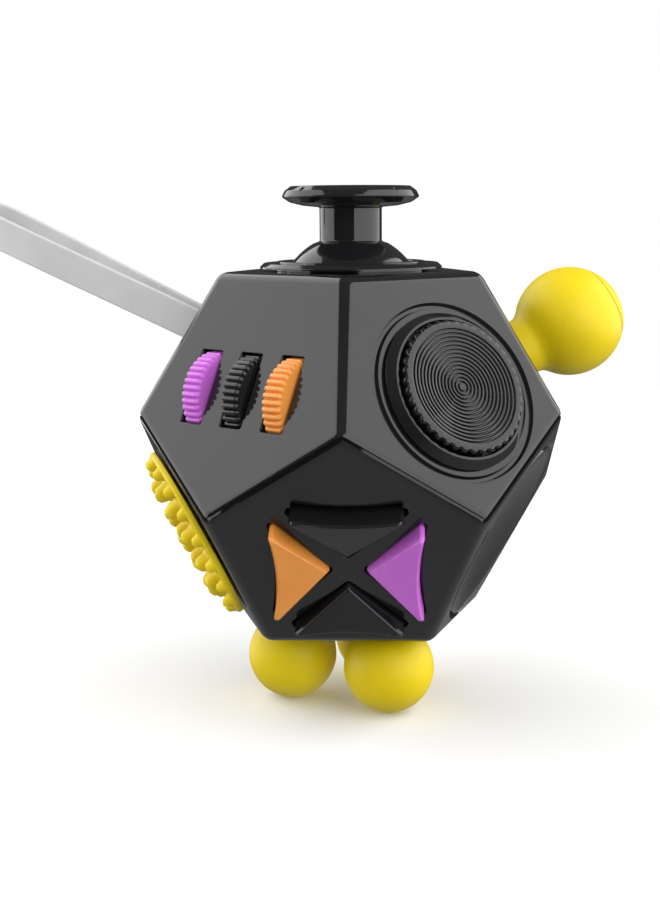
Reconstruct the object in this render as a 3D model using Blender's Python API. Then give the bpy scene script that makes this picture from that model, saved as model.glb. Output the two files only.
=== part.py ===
"""Twelve-sided fidget toy: a hollow dodecahedron in two shells with a different gadget on each face.

World units are metres, +Z up. The origin is the middle of the bottom face's outer surface, and -Y is
the front. Lengths below are in millimetres and turn into metres as each mesh is made. Each face of the
dodecahedron has its own empty: local X runs to the right as seen from outside, local Y up the face, and
local Z straight out of it, with Z = 0 on the outer surface.
"""

import math

import bmesh
import bpy
from mathutils import Matrix, Vector

MM = 0.001

# Casing
EDGE = 21.0
INRADIUS = EDGE * 1.113516
FACE_TILT = math.atan(0.5)
WALL = 1.8
EDGE_BEVEL = 0.9
SEAM_GAP = 0.36
FIT_GAP = 0.3
UNDER_WALL = -(WALL + FIT_GAP)

# Thumb joystick, on the top face
STICK_TILT_PIVOT = -5.0
DOME_RADIUS = 9.8
DOME_WALL = 1.2
COLLAR_RADIUS = 12.0
COLLAR_HOLE_RADIUS = 8.5
COLLAR_TOP = 1.2
STICK_HOLE_RADIUS = 10.4
STEM_RADIUS = 4.1
CAP_RADIUS = 9.05
CAP_TOP = 10.9
SHAFT_RADIUS = 1.3
PIN_RADIUS = 0.7
GIMBAL_RADIUS = 6.4
SOCKET_FLOOR = -11.2
SOCKET_SCREW_RADIUS = 12.9
SOCKET_SCREW_ANGLES = (-90, 54, 126)

# Three thumb wheels
WHEEL_CENTRES = (-7.0, -0.35, 6.3)
WHEEL_UP = -1.0
WHEEL_RADIUS = 5.7
WHEEL_WIDTH = 2.8
WHEEL_TEETH = 40
TOOTH_DEPTH = 0.45
WHEEL_AXIS = -3.6
WHEEL_SLOT_WIDTH = 3.4
AXLE_RADIUS = 0.95

# Rotary dial
DIAL_CENTRE = (0.8, -1.25)
DIAL_RADIUS = 8.3
DIAL_HOLE_RADIUS = 9.5
DIAL_COLLAR_RADIUS = 10.1
DIAL_TOP = 2.3

# Four triangular keys
KEYS_CENTRE = (0.25, -1.95)
KEY_APEX = 2.15
KEY_BASE = 9.3
KEY_HALF_ANGLE = math.radians(46.2)
KEY_CORNER = 0.4
KEY_HOLLOW = 0.6
KEY_TOP = 0.6
KEY_RISE = 1.9
KEY_FLANGE = 0.45
KEY_DEPTH = 3.1

# Soft silicone pieces
BALL_RADIUS = 7.5
BALL_HEIGHT = 11.8
BALL_NECK_RADIUS = 3.6
FOOT_RADIUS = 6.02
FOOT_HEIGHT = 5.66
FOOT_RING = 8.35
FOOT_TURN = math.radians(37.0)
PAD_RADIUS = 12.0
PAD_TOP = 1.1
NUB_RINGS = ((0.0, 1, 1.5, 1.9), (4.0, 6, 1.5, 1.9), (7.6, 12, 1.5, 1.9), (10.7, 18, 1.0, 1.1))

# Worry dish
DISH_RADIUS = 11.8
DISH_DEPTH = 2.2

# Wrist strap and its bar
STRAP_UP = 4.2
STRAP_DROOP = math.radians(3.4)
STRAP_WIDTH = 4.5
STRAP_THICKNESS = 0.85
STRAP_REACH = 43.0
STRAP_SPREAD = 3.9
BAR_RADIUS = 0.7
BAR_HEIGHT = -3.0

# Flip switch, rolling ball and click buttons
ROCKER_LENGTH = 9.6
ROCKER_WIDTH = 6.0
ROCKER_SWING = math.radians(12.0)
ROLLER_RADIUS = 5.0
ROLLER_HEIGHT = -2.7
BUTTON_RADIUS = 1.9
BUTTON_SPACING = 3.7
BUTTON_TOP = 1.3

ABS_BLACK = (0.018, 0.018, 0.018, 1.0)
ORANGE = (0.80, 0.33, 0.08, 1.0)
PURPLE = (0.60, 0.18, 0.67, 1.0)
YELLOW = (0.78, 0.58, 0.02, 1.0)
NYLON_WHITE = (0.72, 0.72, 0.70, 1.0)
STEEL = (0.60, 0.60, 0.62, 1.0)
STRAP_GREY = (0.62, 0.62, 0.62, 1.0)


def clear_scene():
    for obj in list(bpy.data.objects):
        bpy.data.objects.remove(obj, do_unlink=True)


def material(name, colour, roughness, metallic=0.0):
    made = bpy.data.materials.new(name)
    made.use_nodes = True
    shader = made.node_tree.nodes["Principled BSDF"]
    shader.inputs["Base Color"].default_value = colour
    shader.inputs["Roughness"].default_value = roughness
    shader.inputs["Metallic"].default_value = metallic
    return made


def face_matrix(azimuth_deg, tilt):
    """A face's frame in metres, from its azimuth about +Z (0 is the front) and its upward tilt."""
    azimuth = math.radians(azimuth_deg)
    level = Vector((math.sin(azimuth), -math.cos(azimuth), 0))
    out = level * math.cos(tilt) + Vector((0, 0, math.sin(tilt)))
    up = -level * math.sin(tilt) + Vector((0, 0, math.cos(tilt)))
    side = up.cross(out)
    matrix = Matrix((side, up, out)).transposed().to_4x4()
    matrix.translation = (Vector((0, 0, INRADIUS)) + out * INRADIUS) * MM
    return matrix


def add_empty(name, matrix, parent=None):
    empty = bpy.data.objects.new(name, None)
    bpy.context.scene.collection.objects.link(empty)
    empty.parent = parent
    empty.matrix_local = matrix
    return empty


def joint_empty(name, parent, place, turn=None):
    """An empty on a joint's axis, in its face's frame."""
    matrix = Matrix.Translation(Vector(place) * MM)
    return add_empty(name, matrix @ turn.to_4x4() if turn else matrix, parent)


def add_mesh(name, bm, parent, look, at=(0, 0, 0), turn=None, smooth=True):
    """Turns a bmesh in millimetres into an object in metres, under its parent."""
    bmesh.ops.recalc_face_normals(bm, faces=bm.faces)
    bmesh.ops.scale(bm, vec=(MM, MM, MM), verts=bm.verts)
    mesh = bpy.data.meshes.new(name)
    bm.to_mesh(mesh)
    bm.free()
    if smooth:
        mesh.shade_smooth()
        mesh.set_sharp_from_angle(angle=math.radians(35))
    if look:
        mesh.materials.append(look)
    obj = bpy.data.objects.new(name, mesh)
    bpy.context.scene.collection.objects.link(obj)
    obj.parent = parent
    matrix = Matrix.Translation(Vector(at) * MM)
    obj.matrix_local = matrix @ turn.to_4x4() if turn else matrix
    return obj


def lathe(profile, segments=32, closed=False, ripple=None):
    """Turns (radius, height) points about Z. An open profile starts and ends on the axis."""
    bm = bmesh.new()
    rings = []
    for radius, height in profile:
        if radius < 1e-6:
            rings.append([bm.verts.new((0, 0, height))])
            continue
        ring = []
        for i in range(segments):
            angle = 2 * math.pi * i / segments
            reach = ripple(i, radius) if ripple else radius
            ring.append(bm.verts.new((reach * math.cos(angle), reach * math.sin(angle), height)))
        rings.append(ring)
    pairs = list(zip(rings, rings[1:]))
    if closed:
        pairs.append((rings[-1], rings[0]))
    for lower, upper in pairs:
        for i in range(segments):
            j = (i + 1) % segments
            if len(lower) == 1:
                bm.faces.new((lower[0], upper[i], upper[j]))
            elif len(upper) == 1:
                bm.faces.new((lower[i], lower[j], upper[0]))
            else:
                bm.faces.new((lower[i], lower[j], upper[j], upper[i]))
    return bm


def cylinder(radius, low, high, segments=32):
    return lathe([(0, low), (radius, low), (radius, high), (0, high)], segments)


def tube(inner, outer, low, high, segments=32):
    return lathe([(inner, low), (outer, low), (outer, high), (inner, high)], segments, closed=True)


def sphere_points(radius, centre, start_deg, end_deg, steps):
    """Profile points round a ball on the axis, by their angle above the equator."""
    points = []
    for i in range(steps + 1):
        angle = math.radians(start_deg + (end_deg - start_deg) * i / steps)
        reach = radius * math.cos(angle)
        points.append((0 if reach < 1e-4 else reach, centre + radius * math.sin(angle)))
    return points


def prism(outline, low, high, top_scale=1.0, centre=(0, 0)):
    """Extrudes an outline of (x, y) points along Z. top_scale draws the top in, for a sloped side."""
    bm = bmesh.new()
    bottom = [bm.verts.new((x, y, low)) for x, y in outline]
    cx, cy = centre
    top = []
    for x, y in outline:
        top.append(bm.verts.new((cx + (x - cx) * top_scale, cy + (y - cy) * top_scale, high)))
    bm.faces.new(bottom[::-1])
    bm.faces.new(top)
    count = len(outline)
    for i in range(count):
        j = (i + 1) % count
        bm.faces.new((bottom[i], bottom[j], top[j], top[i]))
    return bm


def block(size_x, size_y, low, high, x=0.0, y=0.0):
    a, b = size_x / 2, size_y / 2
    return prism([(x - a, y - b), (x + a, y - b), (x + a, y + b), (x - a, y + b)], low, high)


def rounded(corners, radius, steps=3):
    """The outline through the corners, each one rounded by an arc."""
    points = []
    count = len(corners)
    for i in range(count):
        corner = Vector(corners[i])
        to_last = (Vector(corners[i - 1]) - corner).normalized()
        to_next = (Vector(corners[(i + 1) % count]) - corner).normalized()
        half = math.acos(max(-1.0, min(1.0, to_last.dot(to_next)))) / 2
        middle = corner + (to_last + to_next).normalized() * radius / math.sin(half)
        start = corner + to_last * radius / math.tan(half) - middle
        end = corner + to_next * radius / math.tan(half) - middle
        for k in range(steps + 1):
            points.append(tuple(middle + start.lerp(end, k / steps).normalized() * radius))
    return points


def rod(radius, length, axis, segments=16):
    """A cylinder centred on the origin along X or Y."""
    bm = cylinder(radius, -length / 2, length / 2, segments)
    turn = Matrix.Rotation(math.radians(90), 3, "Y" if axis == "X" else "X")
    bmesh.ops.rotate(bm, cent=(0, 0, 0), matrix=turn, verts=bm.verts)
    return bm


def combine(target, cutter, operation="DIFFERENCE"):
    """A Boolean of a hidden helper object on the target."""
    cutter.hide_render = True
    cutter.display_type = "WIRE"
    modifier = target.modifiers.new(cutter.name, "BOOLEAN")
    modifier.operation = operation
    modifier.solver = "EXACT"
    modifier.object = cutter
    return target


def cut(target, name, bm, parent, at=(0, 0, 0), turn=None):
    return combine(target, add_mesh(name, bm, parent, None, at, turn, smooth=False))


def join(target, name, bm, parent, at=(0, 0, 0), turn=None):
    helper = add_mesh(name, bm, parent, None, at, turn, smooth=False)
    return combine(target, helper, "UNION")


# Casing


def dodecahedron_points(inradius):
    """The twenty corners, in rings from top to bottom."""
    edge = inradius / 1.113516
    rings = ((0.8507, 1.1135, 0), (1.3764, 0.2629, 0), (1.3764, -0.2629, 36), (0.8507, -1.1135, 36))
    points = []
    for radius, height, start in rings:
        for i in range(5):
            azimuth = math.radians(start + 72 * i)
            x = edge * radius * math.sin(azimuth)
            y = -edge * radius * math.cos(azimuth)
            points.append(Vector((x, y, INRADIUS + edge * height)))
    return points


def dodecahedron(inradius, bevel=0.0):
    bm = bmesh.new()
    for point in dodecahedron_points(inradius):
        bm.verts.new(point)
    bmesh.ops.convex_hull(bm, input=bm.verts)
    bmesh.ops.dissolve_limit(bm, angle_limit=0.1, verts=bm.verts, edges=bm.edges)
    if bevel:
        bmesh.ops.bevel(bm, geom=bm.edges, offset=bevel, segments=3, profile=0.5, affect="EDGES")
    return bm


def seam_side(direction):
    """The space on one side of the zigzag seam: a fan from the middle through the ten middle corners."""
    bm = bmesh.new()
    shift = Vector((0, 0, direction * SEAM_GAP / 2))
    middle = Vector((0, 0, INRADIUS))
    corners = dodecahedron_points(INRADIUS)
    ring = []
    for i in range(5):
        ring.append(corners[5 + i])
        ring.append(corners[10 + i])
    rim = [bm.verts.new(middle + (point - middle) * 1.4 + shift) for point in ring]
    far = [bm.verts.new((v.co.x, v.co.y, INRADIUS + direction * 2 * INRADIUS)) for v in rim]
    hub = bm.verts.new(middle + shift)
    for i in range(10):
        j = (i + 1) % 10
        bm.faces.new((hub, rim[i], rim[j]))
        bm.faces.new((rim[i], rim[j], far[j], far[i]))
    bm.faces.new(far)
    return bm


def make_shell(name, direction, bosses):
    shell = add_mesh(name, dodecahedron(INRADIUS, EDGE_BEVEL), None, LOOKS["casing"], smooth=False)
    half = add_mesh(name + "_half", seam_side(direction), None, None, smooth=False)
    combine(shell, half, "INTERSECT")
    hollow = add_mesh(name + "_hollow", dodecahedron(INRADIUS - WALL), None, None, smooth=False)
    combine(shell, hollow)
    for boss in bosses:
        combine(shell, boss, "UNION")
    return shell


def make_shells(faces):
    upper = make_shell("upper_shell", 1, [])
    cut(upper, "cut_stick", cylinder(STICK_HOLE_RADIUS, -4, 3, 32), faces["stick"])
    for i, angle in enumerate(SOCKET_SCREW_ANGLES):
        place = polar(SOCKET_SCREW_RADIUS, angle)
        cut(upper, f"cut_socket_screw_{i}", cylinder(1.0, -3, -0.6, 10), faces["stick"], place)
    for i, x in enumerate(WHEEL_CENTRES):
        slot = rod(WHEEL_RADIUS + 0.35, WHEEL_SLOT_WIDTH, "X", 28)
        cut(upper, f"cut_wheel_{i}", slot, faces["wheels"], (x, WHEEL_UP, WHEEL_AXIS))
    cut(upper, "cut_dial", cylinder(DIAL_HOLE_RADIUS, -4, 3, 32), faces["dial"], (*DIAL_CENTRE, 0))
    strap_slot = block(5.6, 6.4, -4, 3, 0, STRAP_UP)
    cut(upper, "cut_strap", strap_slot, faces["strap"])
    cut(upper, "cut_ball_neck", cylinder(BALL_NECK_RADIUS, -4, 3, 24), faces["ball"])
    opening = block(ROCKER_WIDTH + 1.6, ROCKER_LENGTH + 1.6, -4, 3)
    cut(upper, "cut_rocker", opening, faces["rocker"])

    dish_wall = cylinder(DISH_RADIUS + 1.2, -(DISH_DEPTH + WALL), -WALL / 2, 32)
    boss = add_mesh("dish_boss", dish_wall, faces["dish"], None, smooth=False)
    lower = make_shell("lower_shell", -1, [boss])
    dish_sphere = (DISH_RADIUS**2 + DISH_DEPTH**2) / (2 * DISH_DEPTH)
    bowl_half = math.degrees(math.asin(DISH_RADIUS / dish_sphere))
    bowl = sphere_points(dish_sphere, dish_sphere - DISH_DEPTH, -90, -90 + bowl_half, 4)
    bowl += [(DISH_RADIUS, 2), (0, 2)]
    cut(lower, "cut_dish", lathe(bowl, 32), faces["dish"])
    cut(lower, "cut_pad_plug", cylinder(4.35, -4, 3, 24), faces["pad"])
    for i in range(3):
        cut(lower, f"cut_foot_{i}", cylinder(3.0, -4, 3, 20), faces["feet"], foot_place(i))
    for i in range(4):
        hole = prism(key_outline(FIT_GAP), -4, 4)
        cut(lower, f"cut_key_{i}", hole, faces["keys"], (*KEYS_CENTRE, 0), quarter_turn(i))
    roller_space = cylinder_ball(ROLLER_RADIUS + 0.35)
    cut(lower, "cut_roller", roller_space, faces["roller"], (0, 0, ROLLER_HEIGHT))
    for i, place in enumerate(button_places()):
        hole = cylinder(BUTTON_RADIUS + FIT_GAP, -4, 3, 14)
        cut(lower, f"cut_button_{i}", hole, faces["buttons"], place)


def cylinder_ball(radius):
    return lathe(sphere_points(radius, 0, -90, 90, 10), 20)


def polar(radius, angle_deg, height=0.0):
    angle = math.radians(angle_deg)
    return (radius * math.cos(angle), radius * math.sin(angle), height)


# Thumb joystick


def make_joystick(top):
    pivot = (0, 0, STICK_TILT_PIVOT)
    collar = [(COLLAR_HOLE_RADIUS, COLLAR_TOP), (COLLAR_RADIUS - 0.6, COLLAR_TOP)]
    collar += [(COLLAR_RADIUS, FIT_GAP), (10.0, FIT_GAP), (10.0, -1.9), (9.65, -1.9)]
    collar += [(9.5, -0.4), (COLLAR_HOLE_RADIUS, COLLAR_TOP - 0.5)]
    add_mesh("joystick_collar", lathe(collar[::-1], 32, closed=True), top, LOOKS["casing"])

    socket = [(0, SOCKET_FLOOR), (7.0, SOCKET_FLOOR), (10.9, -6.6), (10.9, -3.0), (12.9, -3.0)]
    socket += [(12.9, UNDER_WALL), (10.15, UNDER_WALL), (10.15, -6.4), (6.9, -10.2), (0, -10.2)]
    cup = add_mesh("joystick_socket", lathe(socket, 24), top, LOOKS["inner"])
    for side in (-1, 1):
        post = block(1.0, 3.2, -10.6, -3.4, side * 7.4, 0)
        join(cup, f"socket_post_{side}", post, top)
    cut(cup, "cut_gimbal_bore", rod(PIN_RADIUS + 0.35, 18, "X"), top, pivot)
    for i, angle in enumerate(SOCKET_SCREW_ANGLES):
        place = polar(SOCKET_SCREW_RADIUS, angle)
        join(cup, f"socket_ear_{i}", cylinder(2.2, -3.2, -2.25, 14), top, place)
        cut(cup, f"cut_ear_{i}", cylinder(1.0, -5, 0, 10), top, place)
        make_screw(f"socket_screw_{i + 1}", top, place)

    gimbal = joint_empty("gimbal_axis", top, pivot)
    ring = add_mesh("gimbal_ring", tube(4.7, GIMBAL_RADIUS, -1.5, 1.5, 20), gimbal, LOOKS["inner"])
    for side in (-1, 1):
        stub = rod(PIN_RADIUS, 2.2, "X", 12)
        join(ring, f"gimbal_pin_{side}", stub, gimbal, (side * 7.0, 0, 0))
    cut(ring, "cut_stick_bore", rod(PIN_RADIUS + 0.35, 14, "Y"), gimbal)

    stick = joint_empty("stick_axis", top, pivot)
    shaft = [(0, -2.6), (1.2, -2.6), (1.2, -1.4), (2.6, -1.4), (2.6, 1.4), (SHAFT_RADIUS, 1.4)]
    shaft += [(SHAFT_RADIUS, 10.5), (0, 10.5)]
    metal = add_mesh("stick_shaft", lathe(shaft, 16), stick, LOOKS["steel"])
    join(metal, "stick_pins", rod(PIN_RADIUS, 12.0, "Y", 12), stick)

    lift = -STICK_TILT_PIVOT
    inner = DOME_RADIUS - DOME_WALL
    profile = [(0, lift + CAP_TOP - 0.9), (4.0, lift + CAP_TOP - 0.6), (7.3, lift + CAP_TOP - 0.1)]
    profile += [(7.95, lift + CAP_TOP), (8.7, lift + 10.3), (CAP_RADIUS, lift + 9.6)]
    profile += [(8.8, lift + 9.0), (6.6, lift + 8.5), (STEM_RADIUS, lift + 7.9)]
    profile += [(STEM_RADIUS, lift + 3.9)]
    profile += sphere_points(DOME_RADIUS, 0, 62, 14, 4)
    profile += sphere_points(inner, 0, 14, 66, 3)
    profile += [(2.6, 7.6), (SHAFT_RADIUS + FIT_GAP, 7.6), (SHAFT_RADIUS + FIT_GAP, 11.0), (0, 11.0)]
    add_mesh("joystick", lathe(profile, 26), stick, LOOKS["casing"])
    spring = coil_spring("joystick_spring", 2.7, 0.25, -9.9, -7.9, 3.5)
    place_curve(spring, top)


def make_screw(name, parent, place):
    """A self-tapping screw driven outwards from inside: head below, shank up into the wall."""
    x, y, _ = place
    profile = [(0, -4.4), (1.6, -4.4), (1.6, -3.3), (0.7, -3.3), (0.7, -1.0), (0, -1.0)]
    add_mesh(name, lathe(profile, 10), parent, LOOKS["steel"], (x, y, 0))


def coil_spring(name, radius, wire, low, high, turns):
    curve = bpy.data.curves.new(name, "CURVE")
    curve.dimensions = "3D"
    curve.bevel_depth = wire * MM
    curve.bevel_resolution = 0
    curve.use_fill_caps = True
    steps = int(10 * turns)
    spline = curve.splines.new("POLY")
    spline.points.add(steps)
    for i, point in enumerate(spline.points):
        angle = 2 * math.pi * turns * i / steps
        height = low + (high - low) * i / steps
        place = (radius * math.cos(angle) * MM, radius * math.sin(angle) * MM, height * MM, 1)
        point.co = place
    return curve


def place_curve(curve, parent):
    curve.materials.append(LOOKS["steel"])
    obj = bpy.data.objects.new(curve.name, curve)
    bpy.context.scene.collection.objects.link(obj)
    obj.parent = parent
    return obj


# Thumb wheels


def make_wheels(face):
    def toothed(i, radius):
        return radius - TOOTH_DEPTH if i % 2 and radius > 4 else radius

    names = (("wheel_left", "purple"), ("wheel_middle", "casing"), ("wheel_right", "orange"))
    half = WHEEL_WIDTH / 2
    sideways = Matrix.Rotation(math.radians(90), 3, "Y")
    for (name, look), x in zip(names, WHEEL_CENTRES):
        axis = joint_empty(name + "_axis", face, (x, WHEEL_UP, WHEEL_AXIS))
        rim = [(AXLE_RADIUS + FIT_GAP, -half), (WHEEL_RADIUS, -half)]
        rim += [(WHEEL_RADIUS, half), (AXLE_RADIUS + FIT_GAP, half)]
        wheel = lathe(rim, 2 * WHEEL_TEETH, closed=True, ripple=toothed)
        add_mesh(name, wheel, axis, LOOKS[look], turn=sideways, smooth=False)

    middle = (-0.35, WHEEL_UP, WHEEL_AXIS)
    add_mesh("wheel_axle", rod(AXLE_RADIUS, 20.0, "X"), face, LOOKS["steel"], middle)
    plate = block(19.8, 14.6, -2.9, UNDER_WALL, -0.35, WHEEL_UP)
    cradle = add_mesh("wheel_cradle", plate, face, LOOKS["inner"])
    for i, x in enumerate(WHEEL_CENTRES):
        window = block(WHEEL_SLOT_WIDTH, 12.6, -4, 0, x, WHEEL_UP)
        cut(cradle, f"cut_window_{i}", window, face)
    for i, x in enumerate((-9.4, -3.68, 2.98, 8.7)):
        tab = block(1.2, 3.8, -5.4, -2.5, x, WHEEL_UP)
        join(cradle, f"cradle_tab_{i}", tab, face)
    cut(cradle, "cut_axle_bore", rod(AXLE_RADIUS + FIT_GAP, 24, "X"), face, middle)

    comb = [(-8.6, -3.25), (7.9, -3.25)]
    for x in reversed(WHEEL_CENTRES):
        comb += [(x + 1.0, -3.9), (x + 0.7, -6.6), (x - 0.7, -6.6), (x - 1.0, -3.9)]
    leaf = prism(comb, -0.2, 0.2)
    stand = Matrix.Rotation(math.radians(90), 3, "X")
    add_mesh("wheel_click_spring", leaf, face, LOOKS["steel"], (0, 5.6, 0), stand)


# Rotary dial


def make_dial(face):
    centre = (*DIAL_CENTRE, 0)
    outer = DIAL_HOLE_RADIUS - FIT_GAP
    inner = DIAL_RADIUS + FIT_GAP
    cup = [(inner, 1.0), (9.1, 1.2), (9.4, 0.9), (DIAL_COLLAR_RADIUS, 0.75)]
    cup += [(DIAL_COLLAR_RADIUS, FIT_GAP), (outer, FIT_GAP), (outer, -4.2), (2.6, -4.2), (2.6, -3.3)]
    cup += [(inner, -3.3)]
    add_mesh("dial_collar", lathe(cup[::-1], 32, closed=True), face, LOOKS["casing"], centre)

    axis = joint_empty("dial_axis", face, centre)
    disc = [(0, -6.4), (2.3, -6.4), (2.3, -2.7), (8.2, -2.7), (DIAL_RADIUS, 0.2), (7.8, 1.9)]
    disc += [(7.4, DIAL_TOP), (3.5, 1.8), (0, 1.7)]
    add_mesh("dial", lathe(disc, 32), axis, LOOKS["casing"])

    def lobed(i, radius):
        return radius - 0.5 if i % 2 and radius > 4 else radius

    star = lathe([(2.6, -5.6), (5.2, -5.6), (5.2, -4.6), (2.6, -4.6)], 24, True, lobed)
    add_mesh("dial_click_wheel", star, axis, LOOKS["inner"], smooth=False)
    arc = []
    for radius, steps in ((5.55, range(9)), (5.95, reversed(range(9)))):
        arc += [polar(radius, 60 + 7.5 * i)[:2] for i in steps]
    leaf = prism(arc, -5.5, -4.6)
    add_mesh("dial_click_spring", leaf, face, LOOKS["steel"], centre)


# Triangular keys


def quarter_turn(i):
    return Matrix.Rotation(math.radians(90 * i), 3, "Z")


def key_outline(grow=0.0):
    """A rounded triangle pointing at the cluster's middle, with a hollow base. grow widens it all round."""
    apex = KEY_APEX - grow / math.sin(KEY_HALF_ANGLE)
    base = KEY_BASE + grow
    half = (base - apex) * math.tan(KEY_HALF_ANGLE)
    points = rounded([(apex, 0), (base, -half), (base, half)], KEY_CORNER + grow * 0.5)
    low, high = points[7], points[8]
    hollow = []
    for k in range(1, 6):
        t = k / 6
        dip = KEY_HOLLOW * (1 - (2 * t - 1) ** 2)
        hollow.append((base - dip, low[1] + (high[1] - low[1]) * t))
    return points[:8] + hollow + points[8:]


def sloped(bm):
    """Slopes a key's top: what stands above the face rises from the apex towards the base."""
    for vert in bm.verts:
        if vert.co.z > 0:
            vert.co.z += KEY_RISE * (vert.co.x - KEY_APEX) / (KEY_BASE - KEY_APEX)
    return bm


def key_middle():
    return (KEY_APEX + 2 * (KEY_BASE - KEY_APEX) / 3, 0)


def make_keys(face):
    names = (("key_right", "purple"), ("key_top", "casing"))
    names += (("key_left", "orange"), ("key_bottom", "casing"))
    for i, (name, look) in enumerate(names):
        turn = quarter_turn(i)
        slide = joint_empty(name + "_slide", face, (*KEYS_CENTRE, 0), turn)
        body = sloped(prism(key_outline(), -KEY_DEPTH, KEY_TOP - 0.3))
        key = add_mesh(name, body, slide, LOOKS[look])
        crown = sloped(prism(key_outline(), KEY_TOP - 0.4, KEY_TOP, 0.88, key_middle()))
        join(key, name + "_crown", crown, slide)
        flange = prism(key_outline(KEY_FLANGE), -KEY_DEPTH, UNDER_WALL)
        join(key, name + "_flange", flange, slide)
    pad = add_mesh("key_membrane", cylinder(9.6, -5.9, -5.2, 32), face, LOOKS["rubber"], (*KEYS_CENTRE, 0))
    for i in range(4):
        x, y, _ = polar(6.6, 90 * i)
        dome = lathe([(0, -5.6), (1.9, -5.6), (1.3, -4.3), (0, -4.3)], 8)
        join(pad, f"key_dome_{i}", dome, face, (KEYS_CENTRE[0] + x, KEYS_CENTRE[1] + y, 0))
    plate = cylinder(9.6, -7.2, -6.2, 32)
    add_mesh("key_plate", plate, face, LOOKS["inner"], (*KEYS_CENTRE, 0))


# Silicone pieces


def make_big_ball(face):
    neck = BALL_NECK_RADIUS - FIT_GAP
    profile = [(0, -3.3), (4.9, -3.3), (4.9, UNDER_WALL), (neck, UNDER_WALL), (neck, FIT_GAP)]
    profile += [(5.0, FIT_GAP), (4.6, 1.4), (4.4, 3.2), (4.55, 5.0)]
    profile += sphere_points(BALL_RADIUS, BALL_HEIGHT, -50, 90, 9)
    add_mesh("grip_ball", lathe(profile, 20), face, LOOKS["silicone"])


def foot_place(i):
    x, y, _ = polar(FOOT_RING, math.degrees(-FOOT_TURN) + 90 + 120 * i)
    return (x, y, 0)


def make_feet(face):
    start = math.degrees(math.asin((FIT_GAP - FOOT_HEIGHT) / FOOT_RADIUS))
    for i in range(3):
        profile = [(0, -3.1), (3.9, -3.1), (3.9, UNDER_WALL), (2.7, UNDER_WALL), (2.7, FIT_GAP)]
        profile += sphere_points(FOOT_RADIUS, FOOT_HEIGHT, start + 1, 90, 8)
        add_mesh(f"ball_foot_{i + 1}", lathe(profile, 16), face, LOOKS["silicone"], foot_place(i))


def make_pad(face):
    profile = [(0, -3.3), (5.6, -3.3), (5.6, UNDER_WALL), (4.05, UNDER_WALL), (4.05, FIT_GAP)]
    profile += [(PAD_RADIUS, FIT_GAP), (PAD_RADIUS, PAD_TOP - 0.3)]
    profile += [(PAD_RADIUS - 0.3, PAD_TOP), (0, PAD_TOP)]
    pad = add_mesh("bristle_pad", lathe(profile, 28), face, LOOKS["silicone"])
    nubs = bmesh.new()
    for ring, count, radius, height in NUB_RINGS:
        for i in range(count):
            x, y, _ = polar(ring, 360 * (i + 0.5) / count)
            add_nub(nubs, x, y, radius, height)
    join(pad, "pad_nubs", nubs, face)


def add_nub(bm, x, y, radius, height):
    steps = 6
    levels = ((radius, PAD_TOP - 0.3), (radius * 0.62, PAD_TOP + height * 0.7))
    rings = []
    for reach, z in levels:
        ring = []
        for i in range(steps):
            dx, dy, _ = polar(reach, 360 * i / steps)
            ring.append(bm.verts.new((x + dx, y + dy, z)))
        rings.append(ring)
    tip = bm.verts.new((x, y, PAD_TOP + height))
    bm.faces.new(rings[0][::-1])
    for i in range(steps):
        j = (i + 1) % steps
        bm.faces.new((rings[0][i], rings[0][j], rings[1][j], rings[1][i]))
        bm.faces.new((rings[1][i], rings[1][j], tip))


# Wrist strap


def strap_points(offset):
    """Half of the loop's side view, from behind the bar to the far end, moved outwards by offset."""
    bend = BAR_RADIUS + FIT_GAP + STRAP_THICKNESS / 2
    middle = []
    for i in range(7):
        angle = math.radians(-90 + 15 * i)
        middle.append(Vector((bend * math.cos(angle), BAR_HEIGHT + bend * math.sin(angle))))
    straight_end = STRAP_REACH - STRAP_SPREAD
    for i in range(1, 13):
        t = i / 12
        rise = BAR_HEIGHT + (straight_end - BAR_HEIGHT) * t
        ease = t * t * (3 - 2 * t)
        middle.append(Vector((bend + (STRAP_SPREAD - bend) * ease, rise)))
    for i in range(1, 9):
        angle = math.radians(90 * i / 8)
        rise = straight_end + STRAP_SPREAD * math.sin(angle)
        middle.append(Vector((STRAP_SPREAD * math.cos(angle), rise)))
    moved = []
    for i, point in enumerate(middle):
        before = middle[max(i - 1, 0)]
        after = middle[min(i + 1, len(middle) - 1)]
        along = (after - before).normalized()
        if i in (0, len(middle) - 1):
            along = Vector((1, 0)) if i == 0 else Vector((-1, 0))
        moved.append((point.x + along.y * offset, point.y - along.x * offset))
    return moved


def strap_outline(offset):
    half = strap_points(offset)
    mirrored = [(-x, y) for x, y in reversed(half)]
    return half + mirrored[1:-1]


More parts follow.
